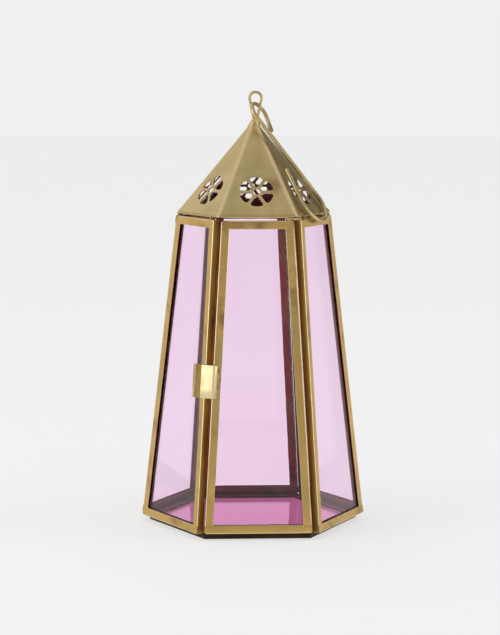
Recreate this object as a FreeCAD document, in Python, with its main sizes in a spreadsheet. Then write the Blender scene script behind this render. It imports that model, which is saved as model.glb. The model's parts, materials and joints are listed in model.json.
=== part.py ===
import FreeCAD, Part
import math
import os

import Sketcher
from FreeCAD import Placement, Rotation, Vector

# Hexagonal brass and glass lantern: six framed panes lean inwards from a glazed floor to a
# pierced pyramid hood.  The front pane is a door.  A wire eye stands on the hood and an
# S-hook hangs in it.  Origin: centre of the underside.  +Z up, the door faces -Y.

DRIVING = {
    # body: six tapering panels
    "panel_start": 3.4,            # level of the panels' outer bottom edges
    "panel_rise": 174.0,           # vertical height of a panel's outer face
    "bottom_apothem": 57.0,        # centre to outer face, at the bottom
    "top_apothem": 39.5,           # centre to outer face, at the top
    "corner_gap": 0.12,            # between neighbouring panels' inner edges
    # U-shaped came (folded brass channel) and the glass in it
    "came_depth": 4.4,
    "came_face": 4.7,
    "came_sheet": 0.55,
    "came_corner": 1.6,            # rounding of a frame's outer corners
    "came_fold": 0.6,              # rounding of the channel's two folds
    "glass": 2.2,
    "channel_gap": 2.5,
    "glass_inset": 1.3,            # glass edge to the frame's outer edge
    # door, a little smaller than the panel it replaces
    "door_side_gap": 0.14,
    "door_shift": 0.06,            # the door sits this far towards its hinge
    "door_bottom_gap": 0.6,
    "door_top_gap": 0.3,
    # floor
    "floor_apothem": 52.1,
    "floor_height": 3.6,
    # hood
    "eave_radius": 44.2,
    "eave_level": 179.8,
    "hood_point": 233.1,           # where the six faces would meet
    "hood_top": 228.4,             # where the pyramid is cut off, under the solder cap
    "hood_sheet": 0.7,
    "hood_ridge": 1.1,             # rounding of the ridges
    "hem_drop": 1.4,
    "hem_set": 0.25,
    "hem_notch": 2.4,
    "notch_reach": 3.0,
    "vent_up": 15.9,               # vent centre, up the slope from the eave
    "vent_radius": 9.7,
    "vent_hub": 2.0,
    "vent_spoke": 0.85,            # half the width of the metal between two petals
    "vent_tip": 1.3,
    "vent_corner": 1.4,
    # suspension eye
    "eye_wire": 0.8,
    "eye_arc": 3.4,
    "eye_centre": 243.9,
    "eye_foot": 0.9,
    "eye_bend": 3.0,
    "eye_splay": 12.0,             # degrees between a leg and the vertical
    "eye_root": 225.5,
    "eye_shift": 0.8,              # the eye stands a little to the right
    "eye_turn": 10.0,              # degrees, clockwise seen from above
    "cap_shift": 0.4,
    "cap_base": 3.5,
    "cap_top": 1.9,
    "cap_height": 3.9,
    # S-hook, drawn in its own plane with its crossing of the eye as origin
    "hook_wire": 1.15,
    "hook_aside": 0.3,             # the crossing lies this far to the left in the eye
    "hook_level": 240.7,
    "hook_off_eave": 1.65,         # wire centre to the hood's face, at the eave
    "small_arc": 6.4,
    "small_across": -1.0,
    "large_arc": 11.9,
    "large_across": 0.7,
    "large_down": 66.0,
    "free_tail": 10.4,
    "free_turn": 21.0,
    "return_tail": 20.9,
    "return_turn": 10.7,
    # hinge
    "pin": 0.7,
    "pin_hole": 0.76,
    "pin_inside": 0.95,
    "pin_outside": 2.0,            # lower pin's reach below the door
    "pin_above": 1.05,             # upper pin's reach above it
    "lug_plate": 0.8,
    "lug_round": 1.75,
    "lug_drop": 0.75,              # door's bottom edge to the lower lug
    "lug_across": 6.5,             # tail of the upper lug, to the right and inwards
    "lug_inwards": 2.2,
    # latch clip
    "clip_sheet": 0.8,
    "clip_height": 17.8,
    "clip_up": 85.0,               # middle of the clip, up the door's stile
    "clip_start": 1.9,             # door's left edge to the foot
    "clip_foot": 0.6,
    "clip_rise": 2.4,
    "clip_rise_turn": -125.0,      # directions of the four runs after the foot, in degrees
    "clip_plate": 8.1,
    "clip_plate_turn": 147.0,
    "clip_leg": 7.0,
    "clip_leg_turn": 117.0,
    "clip_lip": 1.3,
    "clip_lip_turn": 184.0,
    "clip_bend": 0.55,
    "fillet_reach": 1.1,           # solder fillet along the foot
    "fillet_height": 0.9,
    "fillet_margin": 1.5,
    "fillet_taper": 0.4,
    "fillet_edge": 0.05,
    # solder
    "touch_gap": 0.02,             # left between a piece and what it is soldered to
    "seam_base": 0.04,
    "seam_face": 0.56,
    "seam_deep": 0.95,
    "seam_root": 0.0,              # how far a seam starts inside the inner corner
    "seam_margin": 2.0,
    "bead_leg": 1.5,
    "bead_drop": 0.5,
    "bead_share": 0.8,             # share of a side's length that its bead covers
    "tack": 1.5,
    "tack_round": 0.3,
    "tack_inset": 2.2,
    "tack_follow": 0.28,           # inward move for each millimetre along the eave
}
TACK_SHIFTS = {4: -5.5, 5: 7.5}    # two of the six blobs sit off their corners
SIDES = ("front", "right_front", "right_rear", "rear", "left_rear", "left_front")
STEP = 60.0
TOUCH = 0.01                       # lengths below this count as none

doc = FreeCAD.newDocument("lantern")
sheet = doc.addObject("Spreadsheet::Sheet", "Sizes")
for row, (word, number) in enumerate(DRIVING.items(), start=1):
    sheet.set(f"A{row}", word)
    sheet.set(f"B{row}", str(number))
    sheet.setAlias(f"B{row}", word)
doc.recompute()

subparts = {}


def size(word):
    """A driving dimension, read back from the sheet."""
    return float(sheet.get(word))


def cell(word):
    """The same dimension as an expression that stays linked to the sheet."""
    return f"Sizes.{word}"


def keep(label, item, placement=None):
    """Name a sub-part, place it and list it for export."""
    item.Label = label
    if placement is not None:
        item.Placement = placement
    subparts[label] = item
    return item


# ---------------------------------------------------------------- sketch and feature helpers

def new_body(name):
    return doc.addObject("PartDesign::Body", name)


def new_sketch(body, name, plane="XY_Plane", offset=None):
    sketch = body.newObject("Sketcher::SketchObject", name)
    origin = next(item for item in body.Origin.OriginFeatures if item.Role == plane)
    sketch.AttachmentSupport = [(origin, "")]
    sketch.MapMode = "FlatFace"
    if offset is not None:
        sketch.AttachmentOffset = offset
    return sketch


def bind(sketch, kind, arguments, number, expression):
    """Add a dimension to a sketch and link it to the sheet."""
    index = sketch.addConstraint(Sketcher.Constraint(kind, *arguments, number))
    name = f"{kind}{index}"
    sketch.renameConstraint(index, name)
    sketch.setExpression(f"Constraints.{name}", expression)


def closed_lines(sketch, corners):
    """Straight edges through the corners, joined end to end."""
    count = len(corners)
    for index in range(count):
        edge = Part.LineSegment(corners[index], corners[(index + 1) % count])
        sketch.addGeometry(edge, False)
    for index in range(count):
        following = (index + 1) % count
        sketch.addConstraint(Sketcher.Constraint("Coincident", index, 2, following, 1))


def trapezoid(sketch, low, high, start, height):
    """Symmetric trapezoid.  Each argument is (number, expression); low and high are widths."""
    half_low, half_high = low[0] / 2, high[0] / 2
    top = start[0] + height[0]
    closed_lines(sketch, [Vector(-half_low, start[0], 0), Vector(half_low, start[0], 0),
                          Vector(half_high, top, 0), Vector(-half_high, top, 0)])
    sketch.addConstraint(Sketcher.Constraint("Symmetric", 0, 1, 0, 2, -2))
    sketch.addConstraint(Sketcher.Constraint("Symmetric", 2, 1, 2, 2, -2))
    bind(sketch, "DistanceX", (0, 1, 0, 2), low[0], low[1])
    bind(sketch, "DistanceX", (2, 2, 2, 1), high[0], high[1])
    bind(sketch, "DistanceY", (-1, 1, 0, 1), start[0], start[1])
    bind(sketch, "DistanceY", (0, 2, 1, 2), height[0], height[1])


def hexagon(sketch, radius, expression):
    """Regular hexagon about the sketch's origin, with two corners on its X axis."""
    points = [Vector(radius * math.cos(math.radians(STEP * index)),
                     radius * math.sin(math.radians(STEP * index)), 0) for index in range(6)]
    closed_lines(sketch, points)
    circle = sketch.addGeometry(Part.Circle(Vector(), Vector(0, 0, 1), radius), True)
    sketch.addConstraint(Sketcher.Constraint("Coincident", circle, 3, -1, 1))
    for index in range(6):
        sketch.addConstraint(Sketcher.Constraint("PointOnObject", index, 1, circle))
    for index in range(1, 6):
        sketch.addConstraint(Sketcher.Constraint("Equal", 0, index))
    sketch.addConstraint(Sketcher.Constraint("PointOnObject", 0, 1, -1))
    bind(sketch, "Radius", (circle,), radius, expression)


def pad(body, name, sketch, length, inwards=False):
    feature = body.newObject("PartDesign::Pad", name)
    feature.Profile = sketch
    feature.Length = length[0]
    feature.setExpression("Length", length[1])
    feature.Reversed = inwards
    return feature


def slot(body, name, sketch, length):
    """Pocket that cuts evenly to both sides of its sketch; it must remove something."""
    before = body.Shape.Volume
    feature = body.newObject("PartDesign::Pocket", name)
    feature.Profile = sketch
    feature.Midplane = True
    feature.Length = length[0]
    feature.setExpression("Length", length[1])
    doc.recompute()
    if body.Shape.Volume > before - 1e-3:
        raise RuntimeError(f"{name} cuts nothing")
    return feature


def round_edges(body, name, chosen, radius_word):
    """Fillet the edges of the body's tip that the test picks."""
    tip = body.Tip
    names = [f"Edge{number}" for number, edge in enumerate(tip.Shape.Edges, start=1)
             if chosen(edge)]
    feature = body.newObject("PartDesign::Fillet", name)
    feature.Base = (tip, names)
    feature.Radius = size(radius_word)
    feature.setExpression("Radius", cell(radius_word))
    doc.recompute()
    return feature


def wire_body(name, radius_word, draw_path, plane="XY_Plane"):
    """Round wire swept along a smooth path that draw_path puts in a sketch."""
    body = new_body(name)
    path = new_sketch(body, f"{name}_path", plane)
    draw_path(path)
    doc.recompute()
    section = body.newObject("Sketcher::SketchObject", f"{name}_section")
    section.AttachmentSupport = [(path, "Edge1")]
    section.MapMode = "NormalToEdge"
    section.addGeometry(Part.Circle(Vector(), Vector(0, 0, 1), size(radius_word)), False)
    section.addConstraint(Sketcher.Constraint("Coincident", 0, 3, -1, 1))
    bind(section, "Radius", (0,), size(radius_word), cell(radius_word))
    doc.recompute()
    pipe = body.newObject("PartDesign::AdditivePipe", f"{name}_pipe")
    pipe.Profile = section
    pipe.Spine = (path, [f"Edge{number + 1}" for number in range(len(path.Shape.Edges))])
    doc.recompute()
    wanted = math.pi * size(radius_word) ** 2 * path.Shape.Length
    if abs(body.Shape.Volume - wanted) > 0.01 * wanted:
        raise RuntimeError(f"{name} is not a plain round wire")
    return body


# ------------------------------------------------------------------------- panel geometry

TAN30 = math.tan(math.radians(STEP / 2))
LEAN = math.atan2(size("bottom_apothem") - size("top_apothem"), size("panel_rise"))
SLANT = size("panel_rise") / math.cos(LEAN)
SLANT_TEXT = ("sqrt(pow(Sizes.panel_rise; 2)"
              " + pow(Sizes.bottom_apothem - Sizes.top_apothem; 2))")


def half_width(word):
    """Half the width of a fixed panel at one end: (number, expression)."""
    number = (size(word) - size("came_depth")) * TAN30 - size("corner_gap") / 2
    text = f"((Sizes.{word} - Sizes.came_depth) * tan(30 deg) - Sizes.corner_gap / 2)"
    return number, text


LOW_HALF, LOW_TEXT = half_width("bottom_apothem")
HIGH_HALF, HIGH_TEXT = half_width("top_apothem")
TAPER = (LOW_HALF - HIGH_HALF) / SLANT
TAPER_TEXT = f"(({LOW_TEXT} - {HIGH_TEXT}) / {SLANT_TEXT})"


def panel_outline(sketch, inset, sides=(0.0, "0"), below=(0.0, "0"), above=(0.0, "0")):
    """The panel's trapezoid moved in by inset all round, and by three more gaps for a door."""
    start = inset[0] + below[0]
    stop = inset[0] + above[0]
    edge = inset[0] * math.sqrt(1 + TAPER ** 2) + sides[0]
    low = 2 * (LOW_HALF - TAPER * start - edge)
    high = 2 * (HIGH_HALF + TAPER * stop - edge)
    edge_text = f"({inset[1]} * sqrt(1 + pow({TAPER_TEXT}; 2)) + {sides[1]})"
    low_text = f"2 * ({LOW_TEXT} - {TAPER_TEXT} * ({inset[1]} + {below[1]}) - {edge_text})"
    high_text = f"2 * ({HIGH_TEXT} + {TAPER_TEXT} * ({inset[1]} + {above[1]}) - {edge_text})"
    trapezoid(sketch, (low, low_text), (high, high_text), (start, f"{inset[1]} + {below[1]}"),
              (SLANT - start - stop,
               f"{SLANT_TEXT} - 2 * {inset[1]} - {below[1]} - {above[1]}"))


def linked(word):
    return size(word), cell(word)


def panel_place(turn):
    """Local frame of a panel: origin at the foot of its outer face, Z up the slant, -Y out."""
    around = Placement(Vector(), Rotation(Vector(0, 0, 1), turn))
    foot = Vector(0, -size("bottom_apothem"), size("panel_start"))
    lean = Rotation(Vector(1, 0, 0), -math.degrees(LEAN))
    return around.multiply(Placement(foot, lean))


def depth_offset(number):
    """Sketch plane moved inwards from the panel's outer face."""
    return Placement(Vector(0, 0, -number), Rotation())


NO_GAPS = {}
DOOR_GAPS = {"sides": linked("door_side_gap"), "below": linked("door_bottom_gap"),
             "above": linked("door_top_gap")}


def build_came(name, gaps):
    """Folded brass channel round one pane: slab, window, glass channel, rounded folds."""
    body = new_body(name)
    middle = depth_offset(size("came_depth") / 2)
    outline = new_sketch(body, f"{name}_outline", "XZ_Plane")
    panel_outline(outline, (0.0, "0"), **gaps)
    pad(body, f"{name}_slab", outline, linked("came_depth"), inwards=True)
    doc.recompute()
    round_edges(body, f"{name}_corners", crosses_panel, "came_corner")
    window = new_sketch(body, f"{name}_window", "XZ_Plane", middle)
    window.setExpression("AttachmentOffset.Base.z", "-Sizes.came_depth / 2")
    panel_outline(window, linked("came_face"), **gaps)
    slot(body, f"{name}_opening", window, (2 * size("came_depth"), "2 * Sizes.came_depth"))
    frame = body.Tip.Shape.BoundBox
    round_edges(body, f"{name}_folds", lambda edge: runs_outside(edge, frame), "came_fold")
    channel = new_sketch(body, f"{name}_channel", "XZ_Plane", middle)
    channel.setExpression("AttachmentOffset.Base.z", "-Sizes.came_depth / 2")
    panel_outline(channel, linked("came_sheet"), **gaps)
    slot(body, f"{name}_groove", channel, linked("channel_gap"))
    return body


def crosses_panel(edge):
    """True for an edge that runs straight through the panel's thickness."""
    box = edge.BoundBox
    return box.YLength > size("came_depth") / 2 and max(box.XLength, box.ZLength) < TOUCH


def runs_outside(edge, box):
    """True for an edge of the outer outline, on either face of the slab."""
    margin = size("came_face") / 2
    if edge.BoundBox.YLength > TOUCH:
        return False
    middle = edge.valueAt((edge.FirstParameter + edge.LastParameter) / 2)
    near_ends = middle.z < box.ZMin + margin or middle.z > box.ZMax - margin
    half = box.XMax - (middle.z - box.ZMin) * TAPER
    return near_ends or abs(middle.x) > half - margin


def build_pane(name, gaps):
    body = new_body(name)
    level = (size("came_depth") - size("glass")) / 2
    outline = new_sketch(body, f"{name}_outline", "XZ_Plane", depth_offset(level))
    outline.setExpression("AttachmentOffset.Base.z", "-(Sizes.came_depth - Sizes.glass) / 2")
    panel_outline(outline, linked("glass_inset"), **gaps)
    pad(body, f"{name}_glass", outline, linked("glass"), inwards=True)
    return body


def build_fixed_panels():
    for index, side in enumerate(SIDES):
        if side == "front":
            continue
        place = panel_place(STEP * index)
        keep(f"{side}_came", build_came(f"{side}_came", NO_GAPS), place)
        keep(f"{side}_pane", build_pane(f"{side}_pane", NO_GAPS), place)


# ------------------------------------------------------------------------------ door, hinge

def door_place():
    """The front panel's frame, moved sideways towards the hinge."""
    aside = Placement(Vector(size("door_shift"), 0, 0), Rotation())
    return panel_place(0).multiply(aside)


def hinge_line():
    """Two points on the hinge's axis: parallel to the door's right edge, at mid-thickness."""
    middle = size("came_depth") / 2
    edge = size("door_side_gap") + middle * math.sqrt(1 + TAPER ** 2)
    place = door_place()
    start, stop = size("door_bottom_gap"), SLANT - size("door_top_gap")
    low = place.multVec(Vector(LOW_HALF - TAPER * start - edge, middle, start))
    high = place.multVec(Vector(LOW_HALF - TAPER * stop - edge, middle, stop))
    return low, high


HINGE_LOW, HINGE_HIGH = hinge_line()
HINGE_AXIS = (HINGE_HIGH - HINGE_LOW).normalize()


def along_hinge(name, radius_word, start, stop):
    """Round bar on the hinge's axis between two distances from its low point."""
    bar = doc.addObject("Part::Cylinder", name)
    bar.Radius = size(radius_word)
    bar.setExpression("Radius", cell(radius_word))
    bar.Height = stop - start
    bar.Placement = Placement(HINGE_LOW + HINGE_AXIS * start,
                              Rotation(Vector(0, 0, 1), HINGE_AXIS))
    return bar


def cut(name, base, tool):
    result = doc.addObject("Part::Cut", name)
    result.Base = base
    result.Tool = tool
    return result


def build_door():
    blank = build_came("door_blank", DOOR_GAPS)
    blank.Placement = door_place()
    doc.recompute()
    length = (HINGE_HIGH - HINGE_LOW).Length
    drill = along_hinge("door_drill", "pin_hole", -size("came_depth"), length + size("came_depth"))
    keep("door_came", cut("door_came", blank, drill))
    keep("door_pane", build_pane("door_pane", DOOR_GAPS), door_place())
    inside = size("pin_inside")
    keep("lower_hinge_pin", along_hinge("lower_hinge_pin", "pin", -size("pin_outside"), inside))
    keep("upper_hinge_pin", along_hinge("upper_hinge_pin", "pin", length - inside,
                                        length + size("pin_above")))


def hinge_at(level):
    """The hinge axis's point at a height."""
    return HINGE_LOW + HINGE_AXIS * ((level - HINGE_LOW.z) / HINGE_AXIS.z)


def lug(name, level, centre, reach):
    """Small flat plate with a round end about the hinge pin and a tail to what holds it."""
    tail = doc.addObject("Part::Box", f"{name}_tail")
    tail.Length = reach.Length
    tail.setExpression("Width", "2 * Sizes.lug_round")
    tail.setExpression("Height", cell("lug_plate"))
    round_end = doc.addObject("Part::Cylinder", f"{name}_end")
    round_end.setExpression("Radius", cell("lug_round"))
    round_end.setExpression("Height", cell("lug_plate"))
    foot = Vector(centre.x, centre.y, level)
    aside = Placement(Vector(0, -size("lug_round"), 0), Rotation())
    tail.Placement = Placement(foot, Rotation(Vector(1, 0, 0), reach)).multiply(aside)
    round_end.Placement = Placement(foot, Rotation())
    whole = doc.addObject("Part::MultiFuse", f"{name}_plate")
    whole.Shapes = [tail, round_end]
    drill = along_hinge(f"{name}_drill", "pin_hole", -4 * size("came_depth"),
                        SLANT + 4 * size("came_depth"))
    return keep(name, cut(name, whole, drill))


def build_lugs():
    """Lower lug on the floor frame's rim, upper lug on top of the right-hand front panel."""
    low_level = HINGE_LOW.z - size("lug_drop") - size("lug_plate")
    low = hinge_at(low_level + size("lug_plate") / 2)
    rim = Vector(0, -size("floor_apothem") - low.y - size("touch_gap"), 0)
    lug("lower_hinge_lug", low_level, low, rim)
    high_level = size("panel_start") + size("panel_rise") + size("touch_gap")
    reach = Vector(size("lug_across"), size("lug_inwards"), 0)
    lug("upper_hinge_lug", high_level, hinge_at(high_level), reach)


# --------------------------------------------------------------------------------- latch

def clip_outline():
    """Middle line of the clip's section; x along the door's face, y inwards, from the
    left edge of the door's outer face."""
    start = Vector(size("clip_start"), -size("clip_sheet") / 2, 0)
    points = [start + Vector(size("clip_foot"), 0, 0), start]
    for run in ("clip_rise", "clip_plate", "clip_leg", "clip_lip"):
        turn = math.radians(size(f"{run}_turn"))
        points.append(points[-1] + Vector(math.cos(turn), math.sin(turn), 0) * size(run))
    return points


def offset_line(points, distance):
    """The same bent line moved sideways, with mitred corners."""
    moved = []
    for index, point in enumerate(points):
        normals = []
        for first, second in ((index - 1, index), (index, index + 1)):
            if first >= 0 and second < len(points):
                run = (points[second] - points[first]).normalize()
                normals.append(Vector(-run.y, run.x, 0))
        mean = sum(normals[1:], normals[0]).normalize()
        moved.append(point + mean * (distance / mean.dot(normals[0])))
    return moved


def build_clip():
    """Bent strip: foot on the door's stile, rise, front plate, leg and flared lip."""
    half = size("clip_sheet") / 2
    middle = clip_outline()
    body = new_body("latch_clip")
    sketch = new_sketch(body, "clip_section")
    closed_lines(sketch, offset_line(middle, half) + offset_line(middle, -half)[::-1])
    pad(body, "clip_strip", sketch, linked("clip_height"))
    doc.recompute()
    round_edges(body, "clip_bends", bend_edge, "clip_bend")
    along = Rotation(Vector(0, 1, 0), math.degrees(math.atan(TAPER)))
    start = size("clip_up") - size("clip_height") / 2
    edge = Vector(-(LOW_HALF - TAPER * start - size("door_side_gap")), 0, start)
    place = door_place().multiply(Placement(edge, along))
    keep("latch_clip", body, place)
    build_clip_fillet(place)


def build_clip_fillet(place):
    """Wedge of solder between the end of the clip's foot and the door's face."""
    fillet = doc.addObject("Part::Wedge", "latch_solder")
    long_side = size("clip_height") - 2 * size("fillet_margin")
    fillet.Xmin, fillet.Xmax = 0.0, size("fillet_reach")
    fillet.Ymin, fillet.Ymax = 0.0, size("fillet_height")
    fillet.Zmin, fillet.Zmax = 0.0, long_side
    fillet.X2min, fillet.X2max = 0.0, size("fillet_edge")
    fillet.Z2min, fillet.Z2max = size("fillet_taper"), long_side - size("fillet_taper")
    corner = Vector(size("clip_start") + size("clip_foot") + size("touch_gap"), 0,
                    size("fillet_margin") + long_side)
    face_down = Placement(corner, Rotation(Vector(1, 0, 0), 180))
    keep("latch_solder", fillet, place.multiply(face_down))


def bend_edge(edge):
    """True for the clip's long edges where the strip is folded."""
    box = edge.BoundBox
    if box.ZLength < size("clip_height") - TOUCH:
        return False
    x, y = box.Center.x, box.Center.y
    ends = (clip_outline()[0], clip_outline()[-1])
    return all(Vector(x, y, 0).distanceToPoint(end) > size("clip_sheet") for end in ends)


# --------------------------------------------------------------------------------- floor

SEC30 = 1 / math.cos(math.radians(STEP / 2))


def across_corners(word, inset="0", number=0.0):
    """Hexagon radius from an apothem in the sheet, less an inset."""
    return (size(word) - number) * SEC30, f"(Sizes.{word} - {inset}) / cos(30 deg)"


def build_floor():
    came = new_body("floor_came")
    outline = new_sketch(came, "floor_outline")
    hexagon(outline, *across_corners("floor_apothem"))
    pad(came, "floor_slab", outline, linked("floor_height"))
    doc.recompute()
    middle = Placement(Vector(0, 0, size("floor_height") / 2), Rotation())
    window = new_sketch(came, "floor_window", "XY_Plane", middle)
    window.setExpression("AttachmentOffset.Base.z", "Sizes.floor_height / 2")
    hexagon(window, *across_corners("floor_apothem", cell("came_face"), size("came_face")))
    slot(came, "floor_opening", window, (2 * size("floor_height"), "2 * Sizes.floor_height"))
    rim = size("floor_apothem") * SEC30
    round_edges(came, "floor_folds", lambda edge: on_rim(edge, rim), "came_fold")
    groove = new_sketch(came, "floor_groove_outline", "XY_Plane", middle)
    groove.setExpression("AttachmentOffset.Base.z", "Sizes.floor_height / 2")
    hexagon(groove, *across_corners("floor_apothem", cell("came_sheet"), size("came_sheet")))
    slot(came, "floor_groove", groove, linked("channel_gap"))
    keep("floor_came", came, Placement())

    pane = new_body("floor_pane")
    level = (size("floor_height") - size("glass")) / 2
    outline = new_sketch(pane, "floor_glass_outline", "XY_Plane",
                         Placement(Vector(0, 0, level), Rotation()))
    outline.setExpression("AttachmentOffset.Base.z", "(Sizes.floor_height - Sizes.glass) / 2")
    hexagon(outline, *across_corners("floor_apothem", cell("glass_inset"), size("glass_inset")))
    pad(pane, "floor_glass", outline, linked("glass"))
    keep("floor_pane", pane, Placement())


def on_rim(edge, radius):
    """True for a level edge that ends at the rim's corners, or a corner's upright edge."""
    return all(abs(math.hypot(v.X, v.Y) - radius) < TOUCH for v in edge.Vertexes)


# ---------------------------------------------------------------------------------- hood

EAVE_APOTHEM = size("eave_radius") / SEC30
HOOD_RISE = size("hood_point") - size("eave_level")
SLOPE = math.atan2(HOOD_RISE, EAVE_APOTHEM)


def hood_radius(level, inset=0.0):
    """Corner radius of the pyramid at a level, moved in by a wall's thickness."""
    apothem = (size("hood_point") - level) / math.tan(SLOPE) - inset / math.sin(SLOPE)
    return apothem * SEC30


def level_hexagon(body, name, level_word, inset_word=None):
    """Hexagon sketch at one of the sheet's levels, following the pyramid's slope."""
    offset = Placement(Vector(0, 0, size(level_word)), Rotation())
    sketch = new_sketch(body, name, "XY_Plane", offset)
    sketch.setExpression("AttachmentOffset.Base.z", cell(level_word))
    rise = "(Sizes.hood_point - Sizes.eave_level)"
    shrink = f"(Sizes.hood_point - Sizes.{level_word}) / {rise}"
    text = f"Sizes.eave_radius * {shrink}"
    number = hood_radius(size(level_word))
    if inset_word is not None:
        number = hood_radius(size(level_word), size(inset_word))
        reach = f"Sizes.eave_radius * cos(30 deg) / {rise}"
        text += f" - Sizes.{inset_word} * sqrt(1 + pow({reach}; 2)) / cos(30 deg)"
    hexagon(sketch, number, text)
    return sketch


def petal_edges(turn):
    """One petal of a vent, lying along its own axis and then turned: outer arc, two rounded
    corners, two straight sides beside the spokes, and a round tip near the hub."""
    outer, spoke = size("vent_radius"), size("vent_spoke")
    corner, tip = size("vent_corner"), size("vent_tip")
    wedge = math.radians(STEP / 2)

    def polar(radius, angle):
        return Vector(radius * math.cos(angle), radius * math.sin(angle), 0)

    def beside(along, away, side):
        """Point this far along the spoke's middle line and this far from it, in the petal."""
        base = polar(along, side * wedge)
        inwards = polar(away, side * (wedge - math.pi / 2))
        return base + inwards

    reach = math.sqrt((outer - corner) ** 2 - (spoke + corner) ** 2)
    lean = wedge - math.asin((spoke + corner) / (outer - corner))
    tip_centre = (spoke + tip) / math.sin(wedge)
    tip_reach = tip_centre * math.cos(wedge)
    points = {}
    for side in (1, -1):
        centre = beside(reach, spoke + corner, side)
        points[side] = (polar(outer, side * lean), centre, beside(reach, spoke, side),
                        beside(tip_reach, spoke, side))
    edges = [Part.Arc(points[-1][0], Vector(outer, 0, 0), points[1][0])]
    for side in (1, -1):
        rim, centre, foot, neck = points[side]
        bulge = centre + ((rim + foot) * 0.5 - centre).normalize() * corner
        edges.append(Part.Arc(rim, bulge, foot))
        edges.append(Part.LineSegment(foot, neck))
    edges.append(Part.Arc(points[1][3], Vector(tip_centre - tip, 0, 0), points[-1][3]))
    spin = Placement(Vector(), Rotation(Vector(0, 0, 1), turn)).toMatrix()
    for edge in edges:
        edge.transform(spin)
    return edges


def build_hood():
    """Folded sheet pyramid with a turned-down hem, notched at its corners, and six vents."""
    hood = new_body("roof_hood")
    for name, kind, inset in (("hood_outside", "AdditiveLoft", None),
                              ("hood_inside", "SubtractiveLoft", "hood_sheet")):
        low = level_hexagon(hood, f"{name}_eave", "eave_level", inset)
        high = level_hexagon(hood, f"{name}_top", "hood_top", inset)
        loft = hood.newObject(f"PartDesign::{kind}", name)
        loft.Profile = low
        loft.Sections = [high]
        loft.Ruled = True
        doc.recompute()
    round_edges(hood, "hood_ridges", ridge_edge, "hood_ridge")
    eave = Placement(Vector(0, 0, size("eave_level")), Rotation())
    hem = new_sketch(hood, "hem_outline", "XY_Plane", eave)
    hem.setExpression("AttachmentOffset.Base.z", cell("eave_level"))
    hexagon(hem, size("eave_radius") - size("hem_set"), "Sizes.eave_radius - Sizes.hem_set")
    inner = new_sketch(hood, "hem_inner_outline", "XY_Plane", eave)
    inner.setExpression("AttachmentOffset.Base.z", "Sizes.eave_level - Sizes.hem_drop")
    inset = size("hood_sheet") * SEC30 + size("hem_set")
    hexagon(inner, size("eave_radius") - inset,
            "Sizes.eave_radius - Sizes.hem_set - Sizes.hood_sheet / cos(30 deg)")
    pad(hood, "hem_skirt", hem, linked("hem_drop"), inwards=True)
    doc.recompute()
    slot(hood, "hem_hollow", inner, (2 * size("hem_drop"), "2 * Sizes.hem_drop"))
    notches = new_sketch(hood, "hem_notches", "XY_Plane", eave)
    notches.setExpression("AttachmentOffset.Base.z", "Sizes.eave_level - Sizes.hem_drop")
    half, corner = size("hem_notch") / 2, size("eave_radius")
    inner_end, outer_end = corner - size("notch_reach"), corner + size("notch_reach")
    closed_lines(notches, [Vector(inner_end, -half, 0), Vector(outer_end, -half, 0),
                           Vector(outer_end, half, 0), Vector(inner_end, half, 0)])
    notch = slot(hood, "hem_notch", notches, (2 * size("hem_drop"), "2 * Sizes.hem_drop"))
    ring(hood, "hem_notch_ring", notch)

    tilt = Rotation(Vector(1, 0, 0), math.degrees(SLOPE) - 90)
    out = EAVE_APOTHEM - size("vent_up") * math.cos(SLOPE)
    up = size("eave_level") + size("vent_up") * math.sin(SLOPE)
    vent = new_sketch(hood, "vent_outline", "XZ_Plane", Placement(Vector(0, up, out), tilt))
    for index in range(6):
        for edge in petal_edges(STEP * index + STEP / 2):
            vent.addGeometry(edge, False)
    hub = vent.addGeometry(Part.Circle(Vector(), Vector(0, 0, 1), size("vent_hub")), False)
    vent.addConstraint(Sketcher.Constraint("Coincident", hub, 3, -1, 1))
    bind(vent, "Radius", (hub,), size("vent_hub"), cell("vent_hub"))
    cutter = slot(hood, "vent_cut", vent, (6 * size("hood_sheet"), "6 * Sizes.hood_sheet"))
    ring(hood, "vent_ring", cutter)
    keep("roof_hood", hood, Placement())


def ridge_edge(edge):
    """True for the sloping edges of the pyramid's outer side."""
    foot = min(edge.Vertexes, key=lambda vertex: vertex.Z)
    outside = math.hypot(foot.X, foot.Y) > size("eave_radius") - TOUCH
    return outside and edge.BoundBox.ZLength > HOOD_RISE / 2


def ring(body, name, feature):
    """Repeat a feature on all six sides."""
    before = body.Shape.Volume
    pattern = body.newObject("PartDesign::PolarPattern", name)
    pattern.Originals = [feature]
    axis = next(item for item in body.Origin.OriginFeatures if item.Role == "Z_Axis")
    pattern.Axis = (axis, [""])
    pattern.Angle = 360.0
    pattern.Occurrences = 6
    body.Tip = pattern
    doc.recompute()
    if body.Shape.Volume > before - 1e-3:
        raise RuntimeError(f"{name} repeats nothing")


# ---------------------------------------------------------------------- eye, cap and hook

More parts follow.
